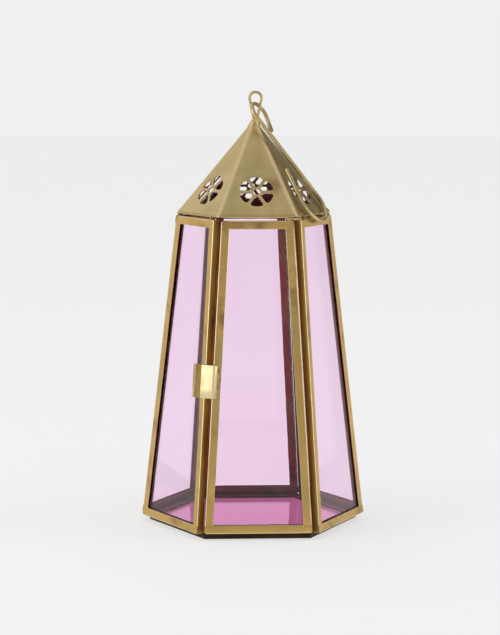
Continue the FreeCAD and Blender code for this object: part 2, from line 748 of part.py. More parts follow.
def eye_path(sketch):
    """Upright loop: two short parallel feet, two bends, two splayed legs, one round top."""
    foot, bend, arc = size("eye_foot"), size("eye_bend"), size("eye_arc")
    splay = math.radians(size("eye_splay"))
    centre, root = size("eye_centre"), size("eye_root")
    across = -arc * math.cos(splay) + foot + bend - bend * math.cos(splay)
    bend_level = (centre - arc * math.sin(splay) + across / math.tan(splay)
                  - bend * math.sin(splay))

    def mirrored(point, side):
        return Vector(side * point.x, point.y, 0)

    start = Vector(foot, root, 0)
    low = Vector(foot, bend_level, 0)
    half = Vector(foot + bend * (1 - math.cos(splay / 2)),
                  bend_level + bend * math.sin(splay / 2), 0)
    high = Vector(foot + bend * (1 - math.cos(splay)), bend_level + bend * math.sin(splay), 0)
    shoulder = Vector(arc * math.cos(splay), centre - arc * math.sin(splay), 0)
    crown = Vector(0, centre + arc, 0)
    left = [mirrored(point, -1) for point in (start, low, half, high, shoulder)]
    edges = [
        Part.LineSegment(left[0], left[1]),
        Part.Arc(left[1], left[2], left[3]),
        Part.LineSegment(left[3], left[4]),
        Part.Arc(left[4], crown, shoulder),
        Part.LineSegment(shoulder, high),
        Part.Arc(high, half, low),
        Part.LineSegment(low, start),
    ]
    for edge in edges:
        sketch.addGeometry(edge, False)


def hook_path(sketch):
    """S in one plane: free tail, small arc over the eye, long shank, large arc, return tail.
    x runs across the hood's face and y up it; the crossing of the eye is the origin."""
    small = Vector(size("small_across"), -size("small_arc"), 0)
    large = Vector(size("large_across"), -size("large_down"), 0)
    near, far = size("small_arc"), size("large_arc")
    gap = large - small
    lean = math.asin((near + far) / gap.Length)
    shank = math.atan2(gap.y, gap.x) + lean
    leave = math.radians(-size("free_turn"))
    arrive = math.pi - math.radians(size("return_turn"))

    def on(centre, radius, angle):
        return centre + Vector(radius * math.cos(angle), radius * math.sin(angle), 0)

    def tail(point, angle, length):
        return point + Vector(math.sin(angle), -math.cos(angle), 0) * length

    small_start = on(small, near, leave)
    small_end = on(small, near, shank - math.pi / 2)
    large_start = on(large, far, shank + math.pi / 2)
    large_end = on(large, far, arrive)
    free_end = tail(small_start, leave, size("free_tail"))
    return_end = tail(large_end, arrive, size("return_tail"))
    edges = [
        Part.LineSegment(free_end, small_start),
        Part.Arc(small_start, on(small, near, math.pi / 2), small_end),
        Part.LineSegment(small_end, large_start),
        Part.Arc(large_start, on(large, far, -math.pi / 2), large_end),
        Part.LineSegment(large_end, return_end),
    ]
    for edge in edges:
        sketch.addGeometry(edge, False)


def hook_frame():
    """The hook's plane: through its crossing of the eye, level across the right-hand front
    face of the hood, and lying just off that face at the eave."""
    out = Vector(math.cos(math.radians(-30)), math.sin(math.radians(-30)), 0)
    across = Vector(0, 0, 1).cross(out)
    crossing = Vector(size("eye_shift") - size("hook_aside"), 0, size("hook_level"))
    normal = out * math.sin(SLOPE) + Vector(0, 0, math.cos(SLOPE))
    eave = out * EAVE_APOTHEM + Vector(0, 0, size("eave_level"))
    rest = eave + normal * size("hook_off_eave")
    down = rest - crossing
    down = (down - across * down.dot(across)).normalize()
    up = down * -1
    return crossing, across, Rotation(across, up, across.cross(up), "XYZ")


def build_top():
    stand = Placement(Vector(size("eye_shift"), 0, 0),
                      Rotation(Vector(0, 0, 1), -size("eye_turn")))
    eye = keep("suspension_eye", wire_body("suspension_eye", "eye_wire", eye_path, "XZ_Plane"),
               stand)
    cone = doc.addObject("Part::Cone", "cap_cone")
    for word, field in (("cap_base", "Radius1"), ("cap_top", "Radius2"),
                        ("cap_height", "Height")):
        cone.setExpression(field, cell(word))
    cone.Placement = Placement(Vector(size("cap_shift"), 0, size("hood_top")), Rotation())
    keep("apex_solder", cut("apex_solder", cone, eye))
    crossing, _, turn = hook_frame()
    keep("s_hook", wire_body("s_hook", "hook_wire", hook_path), Placement(crossing, turn))


# -------------------------------------------------------------------------------- solder

def build_seams():
    """Solder run down each corner between two fixed panels, in the foot of the groove."""
    inner_low = size("bottom_apothem") - size("came_depth")
    rise = size("panel_rise")
    low = Vector(inner_low * SEC30, 0, size("panel_start"))
    high = Vector((size("top_apothem") - size("came_depth")) * SEC30, 0,
                  size("panel_start") + rise)
    run = (high - low).normalize()
    outwards = Rotation(Vector(0, 1, 0), Vector(run.z, 0, -run.x), run, "ZXY")
    for index in range(6):
        names = (SIDES[index], SIDES[(index + 1) % 6])
        if "front" in names:
            continue
        body = new_body(f"{names[0]}_seam")
        sketch = new_sketch(body, f"{names[0]}_seam_section")
        trapezoid(sketch, (2 * size("seam_base"), "2 * Sizes.seam_base"),
                  (2 * size("seam_face"), "2 * Sizes.seam_face"),
                  linked("seam_root"), linked("seam_deep"))
        margin = size("seam_margin")
        length = (high - low).Length - 2 * margin
        pad(body, f"{names[0]}_seam_run", sketch, (length, f"{length}"))
        turn = Placement(Vector(), Rotation(Vector(0, 0, 1), STEP * index - STEP))
        place = turn.multiply(Placement(low + run * margin, outwards))
        keep(f"{names[0]}_to_{names[1]}_seam", body, place)


def solder_group(label, solids):
    """Several separate blobs of solder in one sub-part."""
    group = doc.addObject("Part::Feature", label)
    group.Shape = Part.makeCompound(solids)
    keep(label, group, Placement())


def build_tacks():
    """Fillets under the fixed panels against the floor frame, and blobs under the hood."""
    leg, apothem = size("bead_leg"), size("floor_apothem")
    level = size("panel_start") - size("bead_drop")
    beads = []
    for index in range(1, 6):
        section = Part.makePolygon([Vector(0, -apothem, level), Vector(0, -apothem - leg, level),
                                    Vector(0, -apothem, level - leg),
                                    Vector(0, -apothem, level)])
        run = apothem * TAN30 * size("bead_share")
        bead = Part.Face(section).extrude(Vector(2 * run, 0, 0))
        bead.translate(Vector(-run, 0, 0))
        bead.rotate(Vector(), Vector(0, 0, 1), STEP * index)
        beads.append(bead)
    solder_group("floor_solder_beads", beads)

    low = size("panel_start") + size("panel_rise") + size("touch_gap")
    high = size("eave_level") - size("hem_drop") - size("touch_gap")
    tacks = []
    for index in range(6):
        angle = math.radians(STEP * index)
        shift = TACK_SHIFTS.get(index, 0.0)
        radius = size("eave_radius") - size("tack_inset") - abs(shift) * size("tack_follow")
        tack = Part.makeCylinder(size("tack"), high - low)
        rims = [edge for edge in tack.Edges if edge.Closed]
        tack = tack.makeFillet(size("tack_round"), rims)
        centre = Vector(radius * math.cos(angle), radius * math.sin(angle), low)
        side = Vector(-math.sin(angle), math.cos(angle), 0) * shift
        tack.translate(centre + side)
        tacks.append(tack)
    solder_group("roof_solder_tacks", tacks)


# ----------------------------------------------------------------------------- build, check

def check_document():
    """Stop if any object failed or any sub-part has no sound solid."""
    doc.recompute()
    for item in doc.Objects:
        if "Invalid" in item.State or "Error" in item.State:
            raise RuntimeError(f"{item.Label} failed: {item.State}")
    for label, item in subparts.items():
        shape = item.Shape
        if shape.isNull() or not shape.isValid() or not shape.Solids:
            raise RuntimeError(f"{label} has no sound solid")


def export_steps():
    os.makedirs("parts", exist_ok=True)
    for label, item in subparts.items():
        item.Shape.exportStep(f"parts/{label}.step")


build_floor()
build_fixed_panels()
build_door()
build_lugs()
build_clip()
build_hood()
build_top()
build_seams()
build_tacks()
check_document()
export_steps()
print("hinge low", HINGE_LOW, "high", HINGE_HIGH, "axis", HINGE_AXIS)
print("hook crossing", hook_frame()[0], "across", hook_frame()[1])
print(len(subparts), "sub-parts")
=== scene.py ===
import json
import math

import bpy
from mathutils import Matrix, Vector, geometry, noise


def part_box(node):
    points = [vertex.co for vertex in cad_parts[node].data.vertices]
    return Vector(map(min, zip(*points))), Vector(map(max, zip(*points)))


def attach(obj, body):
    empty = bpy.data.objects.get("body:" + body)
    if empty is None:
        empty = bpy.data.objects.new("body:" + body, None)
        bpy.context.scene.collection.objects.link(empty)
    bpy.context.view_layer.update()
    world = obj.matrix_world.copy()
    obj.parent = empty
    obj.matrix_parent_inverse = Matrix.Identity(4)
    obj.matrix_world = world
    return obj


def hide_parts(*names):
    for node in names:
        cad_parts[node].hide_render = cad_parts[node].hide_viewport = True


# Looks of the brass and pink glass lantern.  Every measure is in metres, in the frame's axes.

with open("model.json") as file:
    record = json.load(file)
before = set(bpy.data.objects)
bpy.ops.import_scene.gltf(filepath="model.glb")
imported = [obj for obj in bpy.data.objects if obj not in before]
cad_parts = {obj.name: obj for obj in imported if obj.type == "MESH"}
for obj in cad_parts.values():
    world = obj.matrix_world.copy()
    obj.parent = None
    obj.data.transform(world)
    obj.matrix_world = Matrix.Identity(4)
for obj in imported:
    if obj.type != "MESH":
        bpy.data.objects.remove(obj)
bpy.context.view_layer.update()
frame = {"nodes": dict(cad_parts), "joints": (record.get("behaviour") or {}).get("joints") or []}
NODES = frame["nodes"]
MM = 0.001
SIDES = ("front", "right_front", "right_rear", "rear", "left_rear", "left_front")
STEP = math.radians(60)

# ------------------------------------------------------------------------------- materials


class Look:
    """A new procedural material, with short calls for the nodes that it is made from."""

    def __init__(self, name):
        self.material = bpy.data.materials.new(name)
        self.material.use_nodes = True
        self.tree = self.material.node_tree
        self.shader = self.tree.nodes["Principled BSDF"]
        self.place = self.tree.nodes.new("ShaderNodeTexCoord").outputs["Object"]

    def link(self, output, node, socket):
        self.tree.links.new(output, node.inputs[socket])

    def noise(self, scale, detail=4.0, stretch=(1, 1, 1), shift=0.0):
        """Grey noise with about this many patches to the metre."""
        mapping = self.tree.nodes.new("ShaderNodeMapping")
        mapping.inputs["Scale"].default_value = stretch
        mapping.inputs["Location"].default_value = (shift, shift, shift)
        self.link(self.place, mapping, "Vector")
        texture = self.tree.nodes.new("ShaderNodeTexNoise")
        texture.inputs["Scale"].default_value = scale
        texture.inputs["Detail"].default_value = detail
        self.link(mapping.outputs["Vector"], texture, "Vector")
        return texture.outputs["Fac"]

    def ramp(self, grey, *stops):
        """Colour ramp; each stop is (position, colour or grey)."""
        node = self.tree.nodes.new("ShaderNodeValToRGB")
        elements = node.color_ramp.elements
        while len(elements) < len(stops):
            elements.new(0.5)
        for element, (position, colour) in zip(elements, stops):
            element.position = position
            full = colour if hasattr(colour, "__len__") else (colour,) * 3
            element.color = (*full, 1.0)
        self.link(grey, node, "Fac")
        return node.outputs["Color"]

    def mix(self, share, first, second):
        """Colour that goes from first to second as share goes from 0 to 1."""
        node = self.tree.nodes.new("ShaderNodeMix")
        node.data_type = "RGBA"
        self.link(share, node, "Factor")
        for socket, value in ((node.inputs[6], first), (node.inputs[7], second)):
            if hasattr(value, "is_linked"):
                self.tree.links.new(value, socket)
            else:
                socket.default_value = (*value, 1.0)
        return node.outputs[2]

    def math(self, operation, *values):
        """Grey from one operation on numbers or other greys."""
        node = self.tree.nodes.new("ShaderNodeMath")
        node.operation = operation
        for socket, value in zip(node.inputs, values):
            if hasattr(value, "is_linked"):
                self.tree.links.new(value, socket)
            else:
                socket.default_value = value
        return node.outputs["Value"]

    def painted_ridge_highlight(self, uneven):
        """How strongly the painted highlight along the six ridges shows: most on the upright
        planes through the axis that hold them, fading to 0 beside them, and broken up by an
        uneven grey."""
        split = self.tree.nodes.new("ShaderNodeSeparateXYZ")
        self.link(self.place, split, "Vector")
        east, north = split.outputs["X"], split.outputs["Y"]
        turn = self.math("PINGPONG", self.math("ARCTAN2", north, east), STEP / 2)
        radius = self.math("SQRT", self.math("ADD", self.math("MULTIPLY", east, east),
                                             self.math("MULTIPLY", north, north)))
        away = self.math("MULTIPLY", radius, self.math("SINE", turn))
        fade = self.math("SUBTRACT", 1.0, self.math("DIVIDE", away, RIDGE_FADE))
        bright = self.math("MINIMUM", self.math("MAXIMUM", fade, 0.0), RIDGE_BRIGHT)
        return self.math("MULTIPLY", bright, self.math("ADD", 0.6, uneven))

    def bump(self, *layers):
        """Stack bumps; each layer is (height, depth in metres)."""
        last = None
        for height, depth in layers:
            node = self.tree.nodes.new("ShaderNodeBump")
            node.inputs["Distance"].default_value = depth
            self.link(height, node, "Height")
            if last is not None:
                self.link(last, node, "Normal")
            last = node.outputs["Normal"]
        self.link(last, self.shader, "Normal")

    def set(self, **values):
        """Fixed values of the shader, by the names of its sockets."""
        for name, value in values.items():
            socket = self.shader.inputs[name.replace("_", " ")]
            socket.default_value = (*value, 1.0) if hasattr(value, "__len__") else value


GREEN_FILM = (0.27, 0.29, 0.13)
RIDGE_FADE = 1.5 * MM              # from a ridge to where its painted highlight ends
RIDGE_BRIGHT = 0.45                # share of the painted highlight colour on the ridge itself
GLASS_IOR = 1.33                   # below real glass's 1.5: the panes mirror and bend less


def aged_brass(name, light, deep, stain, rough=(0.26, 0.38), staining=0.58, wear=0.55,
               relief=1.0, seed=0.0, ridges=None):
    """Satin brass gone uneven with age: mottled tone, brown stains, a faint green film.
    ridges is a lighter colour painted along six ridges about the axis as a highlight."""
    look = Look(name)
    mottle = look.noise(170, 5, stretch=(1, 1, 0.35), shift=seed)
    patches = look.noise(30, 4, shift=seed + 3.1)
    stains = look.noise(60, 8, shift=seed + 7.7)
    film = look.noise(26, 3, shift=seed + 11.3)
    grain = look.noise(2600, 3, stretch=(1, 1, 0.15), shift=seed)
    tone = look.mix(look.ramp(mottle, (0.35, 0.0), (0.75, 0.5)), light, deep)
    tone = look.mix(look.ramp(patches, (0.42, 0.0), (0.68, wear)), tone, deep)
    tone = look.mix(look.ramp(film, (0.5, 0.0), (0.7, 0.4)), tone, GREEN_FILM)
    tone = look.mix(look.ramp(stains, (staining, 0.0), (staining + 0.14, 0.75)), tone, stain)
    # painted highlight along the six ridges
    if ridges is not None:
        tone = look.mix(look.painted_ridge_highlight(patches), tone, ridges)
    look.link(tone, look.shader, "Base Color")
    look.link(look.ramp(stains, (0.4, rough[0]), (0.65, rough[1])), look.shader, "Roughness")
    look.set(Metallic=1.0)
    look.bump((look.noise(80, 2, shift=seed), 0.00008 * relief), (mottle, 0.00001 * relief),
              (grain, 0.000004 * relief))
    return look.material


def pink_glass(name, thin, dense):
    """Clear rose sheet glass with a hardly visible waviness and unevenness of tint."""
    look = Look(name)
    cast = look.noise(14, 2)
    look.link(look.ramp(cast, (0.3, thin), (0.7, dense)), look.shader, "Base Color")
    look.set(Transmission_Weight=1.0, Roughness=0.0, IOR=GLASS_IOR, Specular_IOR_Level=0.3)
    look.bump((look.noise(22, 1), 0.00004))
    return look.material


def dull_solder():
    look = Look("old_solder")
    lumps = look.noise(420, 5)
    share = look.ramp(lumps, (0.35, 0.0), (0.7, 1.0))
    tone = look.mix(share, (0.34, 0.27, 0.16), (0.10, 0.07, 0.04))
    look.link(tone, look.shader, "Base Color")
    look.link(look.ramp(lumps, (0.3, 0.35), (0.7, 0.6)), look.shader, "Roughness")
    look.set(Metallic=1.0)
    look.bump((lumps, 0.0002), (look.noise(1500, 3), 0.00004))
    return look.material


CAME = aged_brass("came_brass_aged", (0.64, 0.42, 0.145), (0.47, 0.30, 0.085),
                  (0.26, 0.14, 0.06))
# lighter brass on the channel folds, the lips and the clip's lip: partly wear, partly a painted
# highlight
EDGE_WEAR_AND_HIGHLIGHT = aged_brass("came_worn_edges", (0.86, 0.70, 0.42), (0.66, 0.49, 0.22),
                  (0.34, 0.21, 0.08), rough=(0.2, 0.34), seed=5.0)
# darkened brass as painted shade: the channel sides in the grooves, the clip's leg and a line
# under the hood's fold
PAINTED_SHADE_BRASS = aged_brass("came_tarnished_sides", (0.40, 0.235, 0.07), (0.24, 0.125, 0.032),
                    (0.07, 0.04, 0.018), rough=(0.34, 0.5), seed=9.0)
# dark reddish brass inside the channels: painted shade with a painted reflection of the pink
# glass
INNER_SHADE_AND_REFLECTION = aged_brass("came_inner_face", (0.30, 0.06, 0.06), (0.17, 0.03, 0.032),
                    (0.07, 0.018, 0.018), rough=(0.36, 0.5), seed=13.0)
# near-black brass as painted shade under the lantern: the floor frame's outer side and fold, and
# the lower hinge lug and pin
RIM_SHADE = aged_brass("floor_rim_painted_shade", (0.055, 0.036, 0.018), (0.035, 0.022, 0.012),
                 (0.02, 0.013, 0.008), rough=(0.45, 0.6), seed=17.0)
# hood brass with a painted highlight along its six ridges; the tip shares this finish
HOOD = aged_brass("hood_brass_aged_ridge_highlight", (0.64, 0.485, 0.235), (0.47, 0.345, 0.15),
                  (0.30, 0.19, 0.10), rough=(0.28, 0.37), staining=0.6, wear=0.75, seed=21.0,
                  ridges=(0.80, 0.64, 0.38))
# pale brass on the hood's cut edges and on the hem's bottom edge and ends: painted highlight
HOOD_EDGE_HIGHLIGHT = aged_brass("hood_cut_edges_painted_highlight", (0.86, 0.74, 0.52), (0.66, 0.52, 0.30),
                      (0.36, 0.25, 0.12), seed=25.0)
# very dark brass on the hood's underside and the hem's inner side: painted shade
HOOD_INSIDE_SHADE = aged_brass("hood_inside_painted_shade", (0.12, 0.055, 0.04), (0.065, 0.028, 0.024),
                         (0.03, 0.015, 0.012), rough=(0.45, 0.6), seed=29.0)
WIRE = aged_brass("wire_brass_aged", (0.60, 0.47, 0.24), (0.42, 0.31, 0.13),
                  (0.24, 0.16, 0.075), rough=(0.26, 0.38), relief=0.2, seed=42.0)
CLIP = aged_brass("clip_brass_pale", (0.80, 0.66, 0.38), (0.66, 0.52, 0.27),
                  (0.44, 0.30, 0.13), rough=(0.38, 0.46), staining=0.62, relief=0.4, seed=63.0)
GLASS = pink_glass("rose_glass", (0.992, 0.865, 0.972), (0.988, 0.84, 0.962))
# the floor pane's tint is its pink glass made much deeper as painted shade for the floor under
# the lantern
FLOOR_GLASS_DEEPENED = pink_glass("rose_floor_glass_painted_shade", (0.84, 0.26, 0.57), (0.80, 0.22, 0.53))
SOLDER = dull_solder()

# ------------------------------------------------------------------------------ mesh helpers


def make_piece(name, points, faces, finish, body, slot, *nodes, sharp=38):
    """A mesh piece in place of CAD nodes: smooth, but sharp where it turns by sharp degrees."""
    mesh = bpy.data.meshes.new(name)
    mesh.from_pydata([tuple(point) for point in points], [], faces)
    mesh.validate()
    for one in finish if isinstance(finish, (list, tuple)) else (finish,):
        mesh.materials.append(one)
    piece = bpy.data.objects.new(name, mesh)
    bpy.context.scene.collection.objects.link(piece)
    mesh.shade_smooth()
    mesh.set_sharp_from_angle(angle=math.radians(sharp))
    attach(piece, body)
    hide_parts(*nodes)
    return piece


def apply_modifiers(piece):
    """Bake the piece's modifiers into its mesh."""
    evaluated = piece.evaluated_get(bpy.context.evaluated_depsgraph_get())
    mesh = bpy.data.meshes.new_from_object(evaluated)
    piece.modifiers.clear()
    piece.data = mesh
    return mesh


def tube_faces(rings, count, first=0, closed_ends=True):
    """Faces of a tube of rings with count points each, numbered from first."""
    faces = []
    for ring in range(rings - 1):
        for index in range(count):
            following = (index + 1) % count
            low, high = first + ring * count, first + (ring + 1) * count
            faces.append((low + index, low + following, high + following, high + index))
    if closed_ends:
        last = first + (rings - 1) * count
        faces.append(tuple(first + index for index in reversed(range(count))))
        faces.append(tuple(last + index for index in range(count)))
    return faces


def wave(*place):
    """Smooth unevenness between about -1 and 1."""
    return noise.noise(Vector(place)) * 1.6


# --------------------------------------------------------------------------- framed panels

FACE = 4.7 * MM                    # width of the channel's face
SHEET = 0.55 * MM
FOLD = 0.6 * MM                    # rounding of the channel's folds
CORNER = 1.6 * MM                  # rounding of a frame's outer corners
UNDER = 0.14 * MM                  # how far a lapped end sits below the strip over it
TUCK = 0.6 * MM                    # how far it runs on beneath that strip
OVER_STRIP, UNDER_STRIP, MITRE = "over", "under", "mitre"


def panel_frame(node, turn):
    """A framed panel's place, measured on its CAD node: origin, across, up, normal, depth and
    the four corners of its outline, counted round from the lower left."""
    mesh = NODES[node].data
    out = Vector((math.sin(turn), -math.cos(turn), 0))
    across = Vector((math.cos(turn), math.sin(turn), 0))
    normal = Vector()
    for polygon in mesh.polygons:
        if polygon.normal.dot(out) > 0.9:
            normal += polygon.normal * polygon.area
    normal = (normal - across * normal.dot(across)).normalized()
    up = normal.cross(across)
    points = [(v.co.dot(across), v.co.dot(normal), v.co.dot(up)) for v in mesh.vertices]
    face = max(point[1] for point in points)
    depth = face - min(point[1] for point in points)
    bottom, top = (pick(point[2] for point in points) for pick in (min, max))
    low = max(point for point in points if point[2] < bottom + 2 * CORNER)
    high = max(point for point in points if point[2] > top - 2 * CORNER)
    middle = (low[0] + min(point[0] for point in points)) / 2
    taper = (low[0] - high[0]) / (high[2] - low[2])
    half_low = low[0] - middle + taper * (low[2] - bottom)
    half_high = high[0] - middle - taper * (top - high[2])
    corners = [Vector((middle - half_low, bottom)), Vector((middle + half_low, bottom)),
               Vector((middle + half_high, top)), Vector((middle - half_high, top))]
    return across, up, normal, face, depth, corners


def channel_section(depth, sunk):
    """Closed outline of the folded channel: (from the outer edge, from the face) in metres,
    with rounded folds, a slightly crowned face and rounded lips.  It starts in the middle of
    the side that faces the neighbouring frame."""
    near, far = sunk, depth - sunk
    crown, lip = 0.10 * MM, 0.12 * MM
    outline = []
    for turn in (0, 22.5, 45, 67.5, 90):
        angle = math.radians(turn)
        outline.append((FOLD * (1 - math.sin(angle)), near + FOLD * (1 - math.cos(angle))))
    outline.reverse()
    for share in (0.3, 0.5, 0.7, 0.88):
        outline.append((FACE * share, near + crown * ((share - 0.5) / 0.5) ** 2))
    outline += [(FACE - lip, near + crown), (FACE, near + crown + lip),
                (FACE, near + SHEET), (SHEET * 1.6, near + SHEET)]
    mirrored = [(inwards, near + far - level) for inwards, level in reversed(outline)]
    return outline + mirrored


OWN, WORN_HIGHLIT_EDGE, SHADED_SIDE, SHADED_INNER = range(4)     # places in a frame's list of finishes: own, worn edge with painted highlight, side in painted shade, inside in painted shade and reflection


def strip_finishes(count):
    """Which finish each of the count faces round the section takes: worn with a painted
    highlight at the outer fold and the lip, painted shade on the side, painted shade and pink
    reflection within, and the frame's own on the face that shows."""
    order = [SHADED_SIDE] * 2 + [WORN_HIGHLIT_EDGE] * 2 + [OWN] * 5 + [WORN_HIGHLIT_EDGE]
    return order + [SHADED_INNER] * (count - len(order) - 4) + [SHADED_SIDE] * 4


def end_offset(kind, inwards, spread):
    """How far a strip's end stays back from the neighbouring edge, at one distance from its own
    outer edge.  spread is the part of the neighbouring edge's direction across the strip."""
    if kind == MITRE:
        return inwards / spread
    if kind == UNDER_STRIP:
        return FACE / spread - TUCK
    if inwards < CORNER:
        return CORNER - math.sqrt(CORNER ** 2 - (CORNER - inwards) ** 2)
    return 0.0


def near_mouth(inwards, level, depth, sunk):
    """True for the four corners of the channel's hollow in its section."""
    walls = (sunk + SHEET, depth - sunk - SHEET)
    return min(abs(level - wall) for wall in walls) < 1e-7 and inwards > SHEET


def strip(place, start, stop, before, after, kinds, sunk, seed):
    """Points and faces of one channel strip of a frame, from corner to corner.  before and
    after are the neighbouring edges' directions away from the two corners.  The end of a strip
    that lies over its neighbour is closed across the channel's hollow."""
    across, up, normal, face, depth = place
    run = stop - start
    length = run.length
    along = run / length
    inward = Vector((-along.y, along.x))
    section = channel_section(depth, sunk)
    stations = max(2, round(length / (3.2 * MM)))
    points = []
    for station in range(stations + 1):
        share = station / stations
        for inwards, level in section:
            first = (inwards * before.dot(along) / before.dot(inward)
                     + end_offset(kinds[0], inwards, before.dot(inward)))
            last = (length + inwards * after.dot(along) / after.dot(inward)
                    - end_offset(kinds[1], inwards, after.dot(inward)))
            distance = first + (last - first) * share
            ripple = wave(distance * 70, seed, 0) * 0.05 * MM * min(1, inwards / FACE * 2)
            lip = wave(distance * 110, seed, 5) * 0.10 * MM * (inwards / FACE) ** 2
            sunk_level = level + (abs(ripple) if level < depth / 2 else -abs(ripple))
            flat = start + along * distance + inward * (inwards + lip)
            points.append(across * flat.x + up * flat.y + normal * (face - sunk_level))
    faces = tube_faces(stations + 1, len(section))
    mouth = [index for index, (inwards, level) in enumerate(section)
             if near_mouth(inwards, level, depth, sunk)]
    for kind, ring in zip(kinds, (0, stations)):
        if kind == OVER_STRIP:
            faces.append(tuple(ring * len(section) + index for index in mouth))
    return points, faces


# which strip lies over the other at each corner, counted round from the lower left; True is
# the strip that starts there, False the one that ends there, None a mitre
LAPS = {
    "front": (True, False, True, True),
    "left_front": (True, False, None, True),
    "right_front": (True, False, False, None),
    "left_rear": (True, False, True, False),
    "right_rear": (True, False, None, True),
    "rear": (True, False, True, True),
}


def frame_piece(name, place, corners, laps, body, slot, seed, *nodes, finishes=None):
    """All the strips of one frame, lapped or mitred at its corners.  place is the frame's
    across, up, normal, face and depth."""
    count = len(corners)
    points, faces, tones = [], [], []
    kinds = {True: (OVER_STRIP, UNDER_STRIP), False: (UNDER_STRIP, OVER_STRIP),
             None: (MITRE, MITRE)}
    for index in range(count):
        start, stop = corners[index], corners[(index + 1) % count]
        before = (corners[index - 1] - start).normalized()
        after = (corners[(index + 2) % count] - stop).normalized()
        ends = (kinds[laps[index]][0], kinds[laps[(index + 1) % count]][1])
        sunk = UNDER if UNDER_STRIP in ends else 0.02 * MM * (index % 2)
        new_points, new_faces = strip(place, start, stop, before, after, ends, sunk,
                                      seed + 3.7 * index)
        faces += [tuple(number + len(points) for number in face) for face in new_faces]
        points += new_points
        around = strip_finishes(len(channel_section(place[4], sunk)))
        rings = len(new_faces) // len(around)
        tones += around * rings + [SHADED_SIDE] * (len(new_faces) - rings * len(around))
    piece = make_piece(name, points, faces, finishes or (CAME, EDGE_WEAR_AND_HIGHLIGHT, PAINTED_SHADE_BRASS, INNER_SHADE_AND_REFLECTION), body,
                       slot, *nodes)
    for polygon, tone in zip(piece.data.polygons, tones, strict=True):
        polygon.material_index = tone
    return piece


def build_frames():
    for index, side in enumerate(SIDES):
        name, body = ("door", "door") if side == "front" else (side, "lantern")
        *place, corners = panel_frame(f"{name}_came", STEP * index)
        frame_piece(f"{name}_frame", place, corners, LAPS[side], body, "came_brass",
                    10.0 * index, f"{name}_came")


def build_floor_frame():
    low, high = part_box("floor_came")
    radius = high.x
    corners = [Vector((radius * math.cos(STEP * index), radius * math.sin(STEP * index)))
               for index in range(6)]
    place = (Vector((1, 0, 0)), Vector((0, 1, 0)), Vector((0, 0, -1)), -low.z, high.z - low.z)
    # the floor frame's fold and outer side take the rim's painted shade
    frame_piece("floor_frame", place, corners, (None,) * 6, "lantern", "came_brass", 77.0,
                "floor_came", finishes=(CAME, RIM_SHADE, RIM_SHADE, INNER_SHADE_AND_REFLECTION))


# ------------------------------------------------------------------------------------ hood

VENT_UP = 15.9 * MM                # vent's centre, up the slope from the eave
VENT_RADIUS = 9.7 * MM
VENT_HUB = 2.0 * MM
VENT_SPOKE = 0.85 * MM             # half the width of the metal between two petals
VENT_TIP = 1.3 * MM
VENT_CORNER = 1.4 * MM
HOOD_SHEET = 0.7 * MM
RIDGE_SOFT = 3.6 * MM              # height over which two faces blend at a ridge
HEM_DROP = 1.4 * MM
HEM_NOTCH = 1.5 * MM
GRID = 1.7 * MM                    # spacing of the spots over a face
RIDGE_CLEAR = 2.4 * MM             # nearest that they come to a ridge
VENT_CLEAR = 0.7 * MM              # and to a vent
RIDGE_ROWS = [back * MM for back in (0.0, 0.4, 0.85, 1.4, 2.0)]    # closer rows beside a ridge
LAP_ROWS = [back * MM for back in (2.5, 2.75, 3.0, 3.25, 3.5)]     # and at the lap seam's edge
LAP_WIDTH = 3.2 * MM               # lap seam beside the front right ridge
LAP_RAISE = 0.28 * MM
LAP_EDGE = 0.25 * MM               # width over which its edge drops to the face
LAP_TOP = 0.56                     # share of the way up the face at which it ends
RIDGE_LEAN = math.radians(20)      # between a ridge and the middle line of its face
DENTS = 0.35 * MM


def hood_plane():
    """Slope of the hood's faces and their level over the axis, measured on the CAD node."""
    mesh = NODES["roof_hood"].data
    normal, offset = Vector(), 0.0
    weight = 0.0
    for polygon in mesh.polygons:
        if polygon.normal.y < -0.7 and abs(polygon.normal.x) < 0.01 and polygon.normal.z > 0.3:
            normal += polygon.normal * polygon.area
            offset += polygon.normal.dot(polygon.center) * polygon.area
            weight += polygon.area
    normal.normalize()
    return math.atan2(-normal.y, normal.z), offset / weight / normal.z


SLOPE, POINT = hood_plane()
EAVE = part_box("roof_hood")[0].z + HEM_DROP
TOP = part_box("roof_hood")[1].z
EAVE_APOTHEM = (POINT - EAVE) / math.tan(SLOPE)


def on_face(index, sideways, upwards):
    """Plan position of a point on face number index, from the middle of its eave."""
    turn = STEP * index
    out = EAVE_APOTHEM - upwards * math.cos(SLOPE)
    return Vector((math.cos(turn) * sideways + math.sin(turn) * out,
                   math.sin(turn) * sideways - math.cos(turn) * out))


def lap_raise(plan):
    """Extra height of the lap seam on the face to the right of the door."""
    turn = STEP
    sideways = math.cos(turn) * plan.x + math.sin(turn) * plan.y
    out = math.sin(turn) * plan.x - math.cos(turn) * plan.y
    ridge = -out * math.tan(STEP / 2)
    reach = (sideways - ridge) * math.cos(RIDGE_LEAN)
    height = (EAVE_APOTHEM - out) / EAVE_APOTHEM
    if reach <= -0.3 * MM or height > LAP_TOP:
        return 0.0
    edge = min(1.0, max(0.0, (LAP_WIDTH * (1 - 0.5 * height) - reach) / LAP_EDGE))
    return LAP_RAISE * edge * min(1.0, (LAP_TOP - height) / 0.06)


def hood_height(plan):
    """Level of the hood's outer side over a plan position, with soft ridges and dents."""
    heights = []
    for index in range(6):
        turn = STEP * index
        out = math.sin(turn) * plan.x - math.cos(turn) * plan.y
        heights.append(POINT - out * math.tan(SLOPE))
    heights.sort()
    blend = max(RIDGE_SOFT - (heights[1] - heights[0]), 0.0) / RIDGE_SOFT
    dents = abs(wave(plan.x * 55, plan.y * 55, 2.5)) * DENTS
    return heights[0] - blend ** 2 * RIDGE_SOFT / 4 - dents + lap_raise(plan)


def arc_points(centre, radius, start, stop, count):
    """Points along an arc, both ends among them."""
    return [centre + Vector((math.cos(start + (stop - start) * step / count),
                             math.sin(start + (stop - start) * step / count))) * radius
            for step in range(count + 1)]


